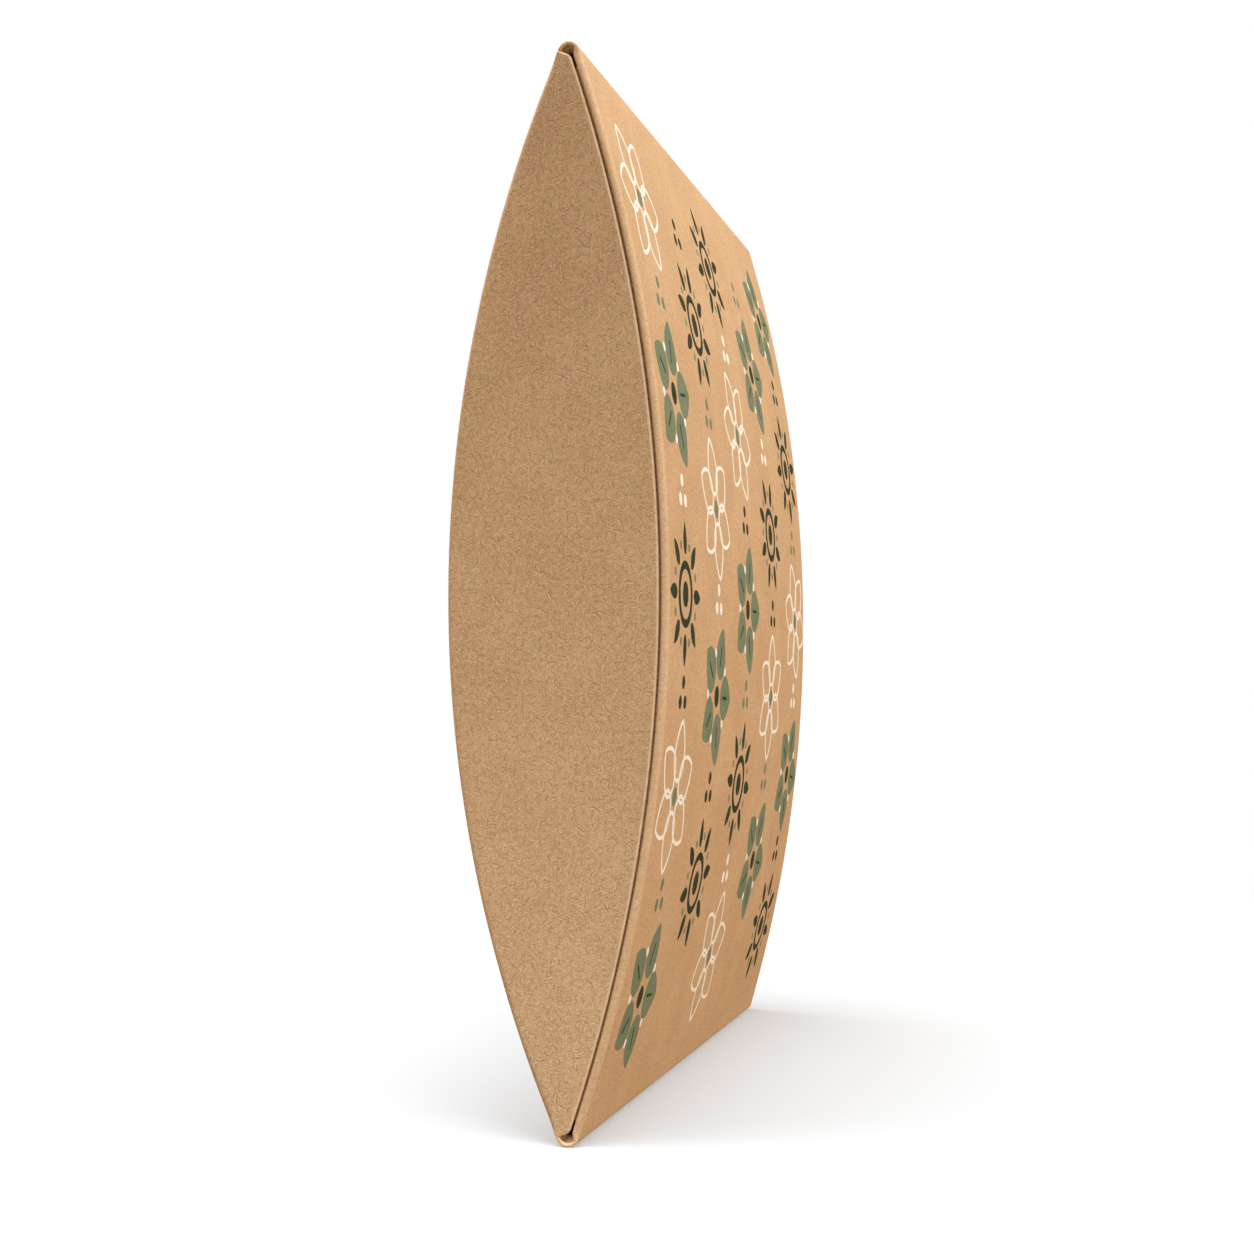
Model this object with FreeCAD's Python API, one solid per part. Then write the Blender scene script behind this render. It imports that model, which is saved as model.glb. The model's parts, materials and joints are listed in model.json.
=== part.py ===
import FreeCAD, Part
import os

# A kraft pillow box: one die-cut sheet of board, folded and glued into a sleeve with a lens-shaped section,
# whose two ends are closed by curved flaps that press into a shallow dish.
# X runs along the two folds, the printed front panel faces -Y, and Z is up.
# The box stands on its bottom fold. The origin is on the underside of that fold, half way along it.
# Lengths are in millimetres.

# The box as a whole
box_height = 120.0        # from the bottom fold to the top fold
box_length = 108.0        # along the folds
front_bulge = 10.2        # crown of the front panel, from the plane of the two folds
back_bulge = 15.2         # crown of the back panel, which is the fuller one
end_dish = 4.5            # depth of the dish in a closed end, at mid height

# Board and folds
board = 0.4               # thickness of the sheet
fold_flat = 1.0           # flat nose of a fold, which the box stands on
fold_corner = 0.5         # outside radius between the nose and a panel
fold_strip = 2.0          # height of the bent strip that makes up a fold

# Curved creases between the panels and the flaps
bead_width = 0.85         # rounded bead of a crease, from the panel's outer face inwards
bead_round = 0.6          # outside radius of the bead
lap_gap = 0.25            # air between the outer flap and the inner flap behind it

# Flaps
score_gap = 0.3           # slit between the outer flap and the bead that it swings on
edge_gap = 0.25           # slit between the outer flap's cut edge and the bead beside it
inner_score_gap = 0.7     # slit between the inner flap and the bead that it swings on
inner_reach = 14.0        # how far the inner flap reaches back from the front panel's crown
tip_clear = 1.6           # hole that the outer flap leaves at each pointed tip
inner_tip_clear = 4.0     # the same for the inner flap

# Glued seam inside the back panel
tab_root = 1.0            # height where the glue tab leaves the bottom fold
tab_height = 12.0         # width of the glue tab, up the back panel
tab_end_gap = 5.0         # distance from the tips to the tab's lower corners
tab_taper = 7.0           # how much the tab's upper corners are drawn in
glue_film = 0.1           # thickness of the glue
glue_margin = 2.0         # rim of the tab that the glue leaves bare

# Sizes that follow from those above
mid_height = box_height / 2
half_length = box_length / 2
inner_flap_depth = board + lap_gap
bead_depth = inner_flap_depth + board
end_radius = (end_dish ** 2 + mid_height ** 2) / (2 * end_dish)
overrun = box_height      # how far cutting shapes reach past the box

FRONT = -1
BACK = 1
LEFT = -1
RIGHT = 1
bulges = {FRONT: front_bulge, BACK: back_bulge}
ends = {"left": LEFT, "right": RIGHT}


def panel_radius(side):
    """Radius of a panel's outer face, which has its crown and runs smoothly into both folds."""
    crown = bulges[side] - fold_flat / 2
    rise = mid_height - fold_corner
    return (crown ** 2 + rise ** 2 - fold_corner ** 2) / (2 * (crown - fold_corner))


def panel_centre(side):
    """Y of the axis that a panel is curved about."""
    return side * (bulges[side] - panel_radius(side))


def section_point(y, z):
    return FreeCAD.Vector(-half_length, y, z)


def side_edges(side, depth):
    """The outline of one side from nose to nose, at a depth inside the outer face: corner, panel, corner."""
    radius = panel_radius(side)
    centre = section_point(panel_centre(side), mid_height)
    crown = centre + FreeCAD.Vector(0, side * (radius - depth), 0)
    corners = []
    joins = []
    for fold in (-1, 1):
        corner = section_point(side * fold_flat / 2, mid_height + fold * (mid_height - fold_corner))
        outward = (corner - centre).normalize()
        to_nose = FreeCAD.Vector(0, 0, fold)
        between = (outward + to_nose).normalize()
        corner_radius = fold_corner - depth
        nose = corner + to_nose * corner_radius
        join = corner + outward * corner_radius
        corners.append(Part.Arc(nose, corner + between * corner_radius, join).toShape())
        joins.append(join)
    panel = Part.Arc(joins[0], crown, joins[1]).toShape()
    return [corners[0], panel, corners[1]]


def nose_edge(z):
    return Part.LineSegment(section_point(-fold_flat / 2, z), section_point(fold_flat / 2, z)).toShape()


def sleeve_core(depth):
    """The sleeve as a solid bar, at a depth inside the board's outer face."""
    back = side_edges(BACK, depth)
    front = side_edges(FRONT, depth)
    edges = [nose_edge(depth)] + back + [nose_edge(box_height - depth)] + front[::-1]
    return Part.Face(Part.Wire(edges)).extrude(FreeCAD.Vector(box_length, 0, 0))


def inside_panel(side, depth):
    """All the space on the hollow side of a panel, from a depth inside its outer face."""
    start = FreeCAD.Vector(-half_length - overrun, panel_centre(side), mid_height)
    length = box_length + 2 * overrun
    return Part.makeCylinder(panel_radius(side) - depth, length, start, FreeCAD.Vector(1, 0, 0))


def beyond_end(end, depth):
    """The air beyond a closed end, down to a depth below the outer flap's face."""
    start = FreeCAD.Vector(end * (half_length - end_dish + end_radius), -overrun, mid_height)
    return Part.makeCylinder(end_radius + depth, 2 * overrun, start, FreeCAD.Vector(0, 1, 0))


def end_layer(end, depth, thickness):
    """A dished sheet that closes an end, starting at a depth below the outer flap's face."""
    return beyond_end(end, depth + thickness).cut(beyond_end(end, depth))


def panel_layer(side, depth, thickness):
    """A curved sheet that follows a panel, starting at a depth inside its outer face."""
    return inside_panel(side, depth).cut(inside_panel(side, depth + thickness))


def band(z_low, z_high, y_low=-overrun, y_high=overrun):
    """A block that spans the box's length between two heights."""
    corner = FreeCAD.Vector(-half_length - overrun, y_low, z_low)
    return Part.makeBox(box_length + 2 * overrun, y_high - y_low, z_high - z_low, corner)


def half_band(side, margin):
    """The front or the back half of the box, clear of both tips by a margin."""
    if side == FRONT:
        return band(margin, box_height - margin, y_high=0)
    return band(margin, box_height - margin, y_low=0)


def trim_ends(shape, depth):
    for end in ends.values():
        shape = shape.cut(beyond_end(end, depth))
    return shape


def make_panel(sleeve, side):
    return trim_ends(sleeve.common(half_band(side, fold_strip)), bead_depth)


def make_fold(sleeve, z_low):
    return trim_ends(sleeve.common(band(z_low, z_low + fold_strip)), 0)


def make_crease(end, side):
    """The rounded bead where a panel turns into the flap that hangs on it."""
    bead = panel_layer(side, 0, bead_width).common(end_layer(end, 0, bead_depth))
    bead = bead.common(half_band(side, fold_strip))
    ridge = FreeCAD.Vector(end * (half_length - end_dish), side * bulges[side], mid_height)
    ridge_edges = [edge for edge in bead.Edges if edge.distToShape(Part.Vertex(ridge))[0] < board / 2]
    return bead.makeFillet(bead_round, ridge_edges)


def make_outer_flap(end):
    """The flap that shows: it hangs on the back panel and reaches across to the front panel's bead."""
    flap = end_layer(end, 0, board)
    flap = flap.common(inside_panel(BACK, bead_width + score_gap))
    flap = flap.common(inside_panel(FRONT, bead_width + edge_gap))
    return flap.common(band(tip_clear, box_height - tip_clear))


def make_inner_flap(end):
    """The flap behind it: it hangs on the front panel and has a straight free edge."""
    flap = end_layer(end, inner_flap_depth, board)
    flap = flap.common(inside_panel(FRONT, bead_width + inner_score_gap))
    flap = flap.common(inside_panel(BACK, bead_width + score_gap))
    free_edge = inner_reach - front_bulge
    return flap.common(band(inner_tip_clear, box_height - inner_tip_clear, y_high=free_edge))


def tab_outline(margin):
    """A block with the glue tab's outline, narrower by a margin all round."""
    low = tab_root + margin
    high = tab_root + tab_height - margin
    half_low = half_length - tab_end_gap - margin
    half_high = half_low - tab_taper
    corners = [(-half_low, low), (half_low, low), (half_high, high), (-half_high, high), (-half_low, low)]
    wire = Part.makePolygon([FreeCAD.Vector(x, 0, z) for x, z in corners])
    return Part.Face(wire).extrude(FreeCAD.Vector(0, overrun, 0))


def make_glue_tab():
    return panel_layer(BACK, board + glue_film, board).common(tab_outline(0))


def make_glue_line():
    return panel_layer(BACK, board, glue_film).common(tab_outline(glue_margin))


def build():
    sleeve = sleeve_core(0).cut(sleeve_core(board))
    pieces = {
        "front_panel": make_panel(sleeve, FRONT),
        "back_panel": make_panel(sleeve, BACK),
        "bottom_fold": make_fold(sleeve, 0),
        "top_fold": make_fold(sleeve, box_height - fold_strip),
        "glue_tab": make_glue_tab(),
        "glue_line": make_glue_line(),
    }
    for name, end in ends.items():
        pieces[name + "_front_crease"] = make_crease(end, FRONT)
        pieces[name + "_back_crease"] = make_crease(end, BACK)
        pieces[name + "_outer_flap"] = make_outer_flap(end)
        pieces[name + "_inner_flap"] = make_inner_flap(end)
    return pieces


os.makedirs("parts", exist_ok=True)
for node, shape in build().items():
    shape.exportStep(os.path.join("parts", node + ".step"))
    print(node, len(shape.Solids), "solid", round(shape.Volume, 3), "mm3", shape.isValid())
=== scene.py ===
import json
import math

import bpy
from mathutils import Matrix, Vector


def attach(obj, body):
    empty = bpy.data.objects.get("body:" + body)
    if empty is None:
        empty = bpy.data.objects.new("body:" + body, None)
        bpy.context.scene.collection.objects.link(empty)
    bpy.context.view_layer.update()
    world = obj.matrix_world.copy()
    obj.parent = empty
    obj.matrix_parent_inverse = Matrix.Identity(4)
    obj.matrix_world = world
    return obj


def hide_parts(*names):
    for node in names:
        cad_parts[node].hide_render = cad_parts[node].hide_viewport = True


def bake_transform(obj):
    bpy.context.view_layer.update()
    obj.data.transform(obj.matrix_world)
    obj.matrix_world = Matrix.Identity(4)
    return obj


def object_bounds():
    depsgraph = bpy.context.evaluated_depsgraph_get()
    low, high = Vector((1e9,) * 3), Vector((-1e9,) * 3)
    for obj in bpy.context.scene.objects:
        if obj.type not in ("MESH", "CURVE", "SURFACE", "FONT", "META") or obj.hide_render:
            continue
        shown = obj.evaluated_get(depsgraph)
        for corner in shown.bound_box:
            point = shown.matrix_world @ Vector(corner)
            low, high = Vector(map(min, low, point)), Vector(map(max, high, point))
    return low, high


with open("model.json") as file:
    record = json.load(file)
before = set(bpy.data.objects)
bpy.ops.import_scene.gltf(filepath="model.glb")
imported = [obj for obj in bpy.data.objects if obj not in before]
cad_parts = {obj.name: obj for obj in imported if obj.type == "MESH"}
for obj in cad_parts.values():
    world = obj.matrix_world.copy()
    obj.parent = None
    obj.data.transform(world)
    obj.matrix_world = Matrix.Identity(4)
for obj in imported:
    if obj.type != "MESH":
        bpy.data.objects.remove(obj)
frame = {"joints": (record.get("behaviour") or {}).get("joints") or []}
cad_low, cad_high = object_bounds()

# A kraft pillow box that stands on its bottom fold. Lengths are in metres, written as millimetres times MM.
MM = 0.001
FRONT, BACK = -1, 1
LEFT, RIGHT = -1, 1
ends = {"left": LEFT, "right": RIGHT}
hinges = {joint["name"]: Vector(joint["pos_m"]) for joint in frame["joints"]}

# The box as a whole, from the frame
half_length = cad_high.x
height = cad_high.z
mid_height = height / 2
bulges = {FRONT: -cad_low.y, BACK: cad_high.y}
end_dish = half_length - abs(hinges["left_outer_fold"].x)
end_radius = (end_dish ** 2 + mid_height ** 2) / (2 * end_dish)

# Board, folds and creases
board = 0.4 * MM
fold_flat = 1.0 * MM           # nose and corners of a fold as the frame's solids have them
fold_corner = 0.5 * MM
bead_width = 0.85 * MM
bead_round = 0.6 * MM
lap_gap = 0.25 * MM
edge_gap = 0.25 * MM
inner_flap_depth = board + lap_gap
bead_depth = inner_flap_depth + board
rim_round = 0.12 * MM          # softened edge of cut board
sharp_round = 0.03 * MM        # least rounding of an edge
rim_mark_reach = 0.18 * MM     # how far from a flap's free edge its places count as cut edge
inner_rim_share = 0.9          # share of a narrow bead that its inner rounding may take
cut_edge_shares = (0.3, 0.7)   # places across a cut edge
rim_band = 0.32 * MM           # width of the paler board beside a cut edge
bead_paleness = 0.25           # how much of that a front bead has
fold_painted_shade = 0.7               # how much painted shade, like a crease's, the pressed nose of a fold has
fold_painted_shade_height = 0.9 * MM   # from the nose to where this has faded out
crease_seam = 1.0 * MM         # from a closed end to the line where the back panel turns into the outer flap
tip_length = 0.84 * MM         # the open loop that a fold forms beyond the flap's tip
tip_step = 0.08 * MM
loop_paleness = 0.5            # how much of a cut edge's paleness the end of that loop has
pinch_low = 0.6 * MM           # a fold is pinched behind its loop up to here, and not at all above pinch_high
pinch_high = 1.9 * MM
pinch_depth = 0.62 * MM        # how far the pinched board stands in from the inner face
pinch_profile = ((0.25 * MM, 0.3), (0.55 * MM, 0.75), (0.95 * MM, 1.0))   # distance from the loop, share
pinch_paleness = 0.7
bead_start = 0.45 * MM         # height where a front bead begins to grow out of the board's edge
bead_growth = 1.0 * MM         # height over which it reaches its full width
crease_growth = 2.5 * MM       # the same for the rounding of a back crease

# Flaps
outer_tip_back = 0.9 * MM      # from the nose of a fold to the outer flap's tip, at its crease
outer_tip_front = 1.45 * MM    # the same at its free edge
inner_tip_root = 2.3 * MM      # the same for the inner flap at its crease and at its free edge
inner_tip_free = 4.0 * MM
inner_reach = 14.0 * MM
inner_root = 0.15 * MM         # how far the inner flap's root sits in its bead
inner_clear = 1.15 * MM        # least depth of its free edge inside the back panel's outer face
tip_corner = 0.3 * MM          # rounding of a flap's free corner
tip_corner_share = 0.45        # share of the tip's width that this rounding takes
band_limit_share = 0.3         # most of a flap's width that the band beside its cut edge may take
root_painted_shade = 1.4 * MM          # width of the band of painted shade along an inner flap's crease, which lies in the slit
root_thin_share = 0.1          # how much a tip's softened edge takes off the board at the crease

# Glued seam
raw_edge_height = 2.0 * MM     # the back panel's raw edge above the floor
raw_edge_dent = 0.1 * MM
raw_edge_half = 0.09 * MM
tab_root = 1.0 * MM
tab_height = 12.0 * MM
tab_end_gap = 5.0 * MM
tab_taper = 7.0 * MM
glue_film = 0.1 * MM
glue_margin = 2.0 * MM

# Fineness of the meshes
panel_steps = 104
bend_steps = 9
length_steps = 30
arc_steps = 6
rim_steps = 3
flap_rows = 84
flap_columns = 26
tab_rows = 10

# Places of the inner faces and of the glue tab on the map of the board, clear of its outer face
inner_map_shift = 3 * height
tab_map_shift = 5 * height


def lerp(a, b, share):
    return a + (b - a) * share


def smooth_step(low, high, value):
    share = min(max((value - low) / (high - low), 0.0), 1.0)
    return share * share * (3 - 2 * share)


def eased(count):
    """Shares from 0 to 1 that lie closer together towards both ends."""
    return [0.5 - 0.5 * math.cos(math.pi * i / count) for i in range(count + 1)]


def quarter(count):
    return [math.pi / 2 * i / count for i in range(count + 1)]


# Shape of the sleeve and of its dished ends

def panel_radius(side):
    crown = bulges[side] - fold_flat / 2
    rise = mid_height - fold_corner
    return (crown ** 2 + rise ** 2 - fold_corner ** 2) / (2 * (crown - fold_corner))


def fold_radius(side):
    """Radius of the bend over a fold, which touches the fold's nose and runs smoothly into a panel."""
    radius = panel_radius(side)
    bulge = bulges[side]
    return (bulge * (2 * radius - bulge) - mid_height ** 2) / (2 * (radius - mid_height))


def panel_half_angle(side):
    return math.atan2(mid_height - fold_radius(side), panel_radius(side) - bulges[side])


def panel_point(side, angle, depth):
    """(y, z) on a panel at an angle from its crown, at a depth inside its outer face."""
    radius = panel_radius(side)
    return (
        side * (bulges[side] - radius + (radius - depth) * math.cos(angle)),
        mid_height + (radius - depth) * math.sin(angle),
    )


def panel_angle(side, z, depth):
    return math.asin((z - mid_height) / (panel_radius(side) - depth))


def panel_y(side, z, depth):
    return panel_point(side, panel_angle(side, z, depth), depth)[0]


def bend_point(side, angle, depth):
    """(y, z) on the bend over a fold."""
    fold = 1 if angle > 0 else -1
    radius = fold_radius(side)
    return (
        side * (radius - depth) * math.cos(angle),
        mid_height + fold * (mid_height - radius) + (radius - depth) * math.sin(angle),
    )


def end_x(z):
    """Distance from the middle of the box to the face of a closed end."""
    reach = min(abs(z - mid_height), mid_height)
    return half_length - end_dish + end_radius - math.sqrt(end_radius ** 2 - reach ** 2)


def raw_edge_angles():
    """Angles on the back panel just below, at and just above its raw lower edge, with their dents."""
    middle = panel_angle(BACK, raw_edge_height, 0)
    step = raw_edge_half / panel_radius(BACK)
    profile = ((-2, 0), (-1, raw_edge_dent), (1, raw_edge_dent), (2, 0))
    return [(middle + steps * step, dent) for steps, dent in profile]


def side_samples(side):
    """Samples up one side, nose to nose: a function of depth, the angle, and the dent of the outer face."""
    limit = panel_half_angle(side)
    samples = []
    for i in range(1, bend_steps):
        samples.append((bend_point, lerp(-math.pi / 2, -limit, i / bend_steps), 0))
    angles = [(lerp(-limit, limit, share), 0) for share in eased(panel_steps)]
    if side == BACK:
        extra = raw_edge_angles()
        clear = [a for a in angles if not extra[0][0] < a[0] < extra[-1][0]]
        angles = sorted(clear + extra)
    samples += [(panel_point, angle, dent) for angle, dent in angles]
    for i in range(1, bend_steps):
        samples.append((bend_point, lerp(limit, math.pi / 2, i / bend_steps), 0))
    return samples


class Station:
    """One place round the sleeve's section."""

    def __init__(self, side, at, dent):
        self.side = side
        self.at = at
        self.dent = dent
        self.y, self.z = at(0)
        tip = max(min(self.z, height - self.z), 0.0)
        self.growth = smooth_step(bead_start, bead_start + bead_growth, tip)
        self.recess = smooth_step(tip_length, tip_length + tip_step, tip)
        # painted shade along the nose of a fold, fading out above it
        self.nose_painted_shade = -fold_painted_shade * (1 - smooth_step(0.0, fold_painted_shade_height, tip))
        self.pinch = 1 - smooth_step(pinch_low, pinch_high, tip)

    def cap_mark(self, slit_share):
        """Mark of a place round the end of the wall: a pale cut edge at the tips, elsewhere painted shade
        along the back crease and, past a little paleness on the front bead, in the slit.
        """
        if self.side == BACK:
            return lerp(loop_paleness, -1.0, self.recess)
        return lerp(loop_paleness, lerp(bead_paleness, -1.0, slit_share), self.growth)


def station_on(side, make, angle, dent):
    return Station(side, lambda depth: make(side, angle, depth), dent)


def section_stations():
    """Places all round the section: up the back and down the front."""
    back = [station_on(BACK, *sample) for sample in side_samples(BACK)]
    front = [station_on(FRONT, *sample) for sample in side_samples(FRONT)]
    noses = [station_on(BACK, bend_point, fold * math.pi / 2, 0) for fold in (-1, 1)]
    return noses[:1] + back + noses[1:] + front[::-1]


def end_profile(station):
    """(depth, distance from the end's face) round the end of the sleeve's wall, from outside to inside."""
    if station.side == FRONT:
        width = lerp(board, bead_width, station.growth)
        rounding = lerp(rim_round, bead_round, station.growth)
        length = lerp(board, bead_depth, station.growth)
        back_off = 0.0
    else:
        width = board
        rounding = lerp(rim_round, sharp_round, station.recess)
        length = board
        back_off = crease_seam * station.recess
    points = []
    for turn in quarter(arc_steps):
        points.append((rounding * (1 - math.cos(turn)), back_off + rounding * (1 - math.sin(turn))))
    inner = min(rim_round, (width - rounding) * inner_rim_share)
    for turn in quarter(rim_steps):
        points.append((width - inner + inner * math.sin(turn), back_off + inner * (1 - math.cos(turn))))
    points.append((width, back_off + length))
    points.append((board, back_off + length + rim_round))
    return points


def sleeve_profile(station):
    """One loop along the outer face, round the right end, back along the inner face and round the left end.
    Each place is (point, region, mark): the region tells which map it takes, and the mark is above 0 on a cut
    edge and below 0 where shade is painted: along the back crease, in the slit and on the nose of a fold."""
    cap = end_profile(station)
    loop = []

    def place(depth, distance, end, region, mark):
        lowered = max(depth, station.dent) if region == "outer" else depth
        y, z = station.at(lowered)
        loop.append((Vector((end * (end_x(z) - distance), y, z)), region, mark))

    reach = end_x(station.z) - cap[0][1]
    inner_reach_x = end_x(station.at(board)[1]) - cap[-1][1]
    for i in range(1, length_steps):
        x = lerp(-reach + rim_band, reach - rim_band, i / length_steps)
        y, z = station.at(station.dent)
        loop.append((Vector((x, y, z)), "outer", station.nose_painted_shade))
    marks = [station.cap_mark(smooth_step(arc_steps, arc_steps + rim_steps, i)) for i in range(len(cap))]
    pinches = []
    for away, share in pinch_profile:
        depth = board + pinch_depth * share * station.pinch
        pinches.append((depth, cap[-1][1] + away, pinch_paleness * (1 - share) * station.pinch))
    place(0, cap[0][1] + rim_band, RIGHT, "outer", station.nose_painted_shade)
    for (depth, distance), mark in zip(cap, marks):
        place(depth, distance, RIGHT, "right", mark)
    for depth, distance, mark in pinches:
        place(depth, distance, RIGHT, "inner", mark)
    for i in range(1, length_steps):
        x = lerp(inner_reach_x, -inner_reach_x, i / length_steps)
        y, z = station.at(board)
        loop.append((Vector((x, y, z)), "inner", 0.0))
    for depth, distance, mark in pinches[::-1]:
        place(depth, distance, LEFT, "inner", mark)
    for (depth, distance), mark in zip(cap[::-1], marks[::-1]):
        place(depth, distance, LEFT, "left", mark)
    place(0, cap[0][1] + rim_band, LEFT, "outer", station.nose_painted_shade)
    return loop


# Meshes

def link_object(name, data):
    made = bpy.data.objects.new(name, data)
    bpy.context.collection.objects.link(made)
    return made


def new_object(name, points, faces, face_maps, slots, attributes):
    mesh = bpy.data.meshes.new(name)
    mesh.from_pydata([tuple(point) for point in points], [], faces)
    layer = mesh.uv_layers.new(name="board")
    flat = [value for face in face_maps for pair in face for value in pair]
    layer.data.foreach_set("uv", flat)
    mesh.polygons.foreach_set("material_index", slots)
    mesh.polygons.foreach_set("use_smooth", [True] * len(faces))
    for key, values in attributes.items():
        mesh.attributes.new(key, "FLOAT", "POINT").data.foreach_set("value", values)
    mesh.validate()
    mesh.update()
    return link_object(name, mesh)


def section_lengths(stations):
    lengths = [0.0]
    for a, b in zip(stations, stations[1:] + stations[:1]):
        lengths.append(lengths[-1] + math.hypot(b.y - a.y, b.z - a.z))
    return lengths


def cap_lengths(loop, first, last, step):
    """Running length along an end's profile, from its place on the outer face."""
    order = list(range(first, last, step))
    run = {order[0]: 0.0}
    for a, b in zip(order, order[1:]):
        run[b] = run[a] + (loop[b][0] - loop[a][0]).length
    return run


def make_sleeve():
    stations = section_stations()
    lengths = section_lengths(stations)
    loops = [sleeve_profile(station) for station in stations]
    count = len(loops[0])
    rows = len(loops)
    points = [place[0] for loop in loops for place in loop]
    cut_edge_and_painted_shade_marks = [place[2] for loop in loops for place in loop]
    regions = [place[1] for place in loops[0]]
    right_first = regions.index("right") - 1
    right_last = regions.index("inner") + 1
    left_first = regions.index("left") - 1
    runs = []
    for loop in loops:
        run = cap_lengths(loop, right_first, right_last, 1)
        run.update(cap_lengths(loop, count - 1, left_first - 1, -1))
        runs.append(run)

    def region_of(j):
        pair = (regions[j], regions[(j + 1) % count])
        for name in ("right", "left"):
            if name in pair:
                return name
        return "inner" if "inner" in pair else "outer"

    def place_map(i, j, region, along):
        x = loops[i][j][0].x
        if region == "right":
            return (loops[i][right_first][0].x + runs[i][j], along)
        if region == "left":
            return (loops[i][count - 1][0].x - runs[i][j], along)
        return (x, along) if region == "outer" else (x, along + inner_map_shift)

    faces, maps, slots = [], [], []
    for i in range(rows):
        below = (i + 1) % rows
        for j in range(count):
            beside = (j + 1) % count
            region = region_of(j)
            faces.append((i * count + j, i * count + beside, below * count + beside, below * count + j))
            maps.append((
                place_map(i, j, region, lengths[i]), place_map(i, beside, region, lengths[i]),
                place_map(below, beside, region, lengths[i + 1]), place_map(below, j, region, lengths[i + 1]),
            ))
            slots.append(1 if region == "inner" else 0)
    return new_object("sleeve", points, faces, maps, slots, {"cut_edge_and_painted_shade": cut_edge_and_painted_shade_marks})


def flap_columns_of(width, root):
    """Shares across a flap: the root, the plate and the band beside its free edge."""
    band = min(rim_band / width, band_limit_share)
    shares = [0.0, band] if root else [0.0]
    first, last = shares[-1], 1 - band
    shares += [lerp(first, last, i / flap_columns) for i in range(1, flap_columns + 1)]
    shares.append(1 - rim_round / width)
    return shares


class Flap:
    """A dished flap: side it hangs on, depths of its two faces, its boundaries and its tips."""

    def __init__(self, end, side, depth, root_depth, far_y, tip_root, tip_free, crease):
        self.end, self.side, self.crease = end, side, crease
        self.depth, self.root_depth = depth, root_depth
        self.tip_root, self.tip_free = tip_root, tip_free
        self.far_y = far_y

    def tip_cut(self, share):
        """Distance from the nose to the flap's tip, at a share of its width."""
        cut = lerp(self.tip_root, self.tip_free, share)
        into = max(share - (1 - tip_corner_share), 0.0) / tip_corner_share
        return cut + tip_corner * (1 - math.sqrt(1 - min(into, 1.0) ** 2))

    def row_z(self, share, row_share):
        cut = self.tip_cut(share)
        return lerp(cut, height - cut, row_share)

    def on_end(self, y, z, distance):
        return Vector((self.end * (end_x(z) - distance), y, z))

    def rounding(self, z):
        """Outside radius of the crease, which is nearly sharp at the tips."""
        growth = smooth_step(self.tip_root, self.tip_root + crease_growth, min(z, height - z))
        return lerp(rim_round, self.root_depth, growth)

    def root_y(self, z):
        return panel_y(self.side, z, self.rounding(z) if self.crease else self.root_depth)

    def face_points(self, row_share, distance, thin, outer):
        """Places across one face of the flap in one row, from its root to its free edge."""
        made = []
        z = self.row_z(0.0, row_share)
        if self.crease:
            rounding = self.rounding(z)
            angle = panel_angle(self.side, z, rounding)
            radius = rounding if outer else max(rounding - board, sharp_round)
            face = (0 if outer else board) + (thin if outer else -thin) * root_thin_share
            places = [(face, crease_seam)]
            for turn in quarter(arc_steps)[:-1]:
                places.append((face + radius * (1 - math.cos(turn)), face + radius * (1 - math.sin(turn))))
            # the rounding of the back crease gets painted shade
            for depth, away in places:
                y, at_z = panel_point(self.side, angle, depth)
                made.append((self.on_end(y, at_z, away), -1.0))
        width = abs(self.far_y(z) - self.root_y(z))
        for share in flap_columns_of(width, self.crease):
            z = self.row_z(share, row_share)
            y = lerp(self.root_y(z), self.far_y(z), share)
            cut_edge_and_painted_shade = 1.0 if share > 1 - rim_mark_reach / width else 0.0
            # an inner flap's crease, seen through the slit, gets painted shade
            if not self.crease:
                cut_edge_and_painted_shade -= 1 - smooth_step(root_painted_shade / 2, root_painted_shade, share * width)
            made.append((self.on_end(y, z, distance + (thin if outer else -thin)), cut_edge_and_painted_shade))
        return made

    def edge_points(self, row_share, thin):
        """Places round the cut edge, between the outer and the inner face."""
        z = self.row_z(1.0, row_share)
        y = self.far_y(z)
        made = []
        for share in cut_edge_shares:
            depth = lerp(self.depth + rim_round / 2 + thin, self.depth + board - rim_round / 2 - thin, share)
            made.append((self.on_end(y, z, depth), 1.0))
        return made

    def loop(self, row_share, thin):
        outer = self.face_points(row_share, self.depth, thin, True)
        inner = self.face_points(row_share, self.depth + board, thin, False)
        return outer, self.edge_points(row_share, thin), inner


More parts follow.
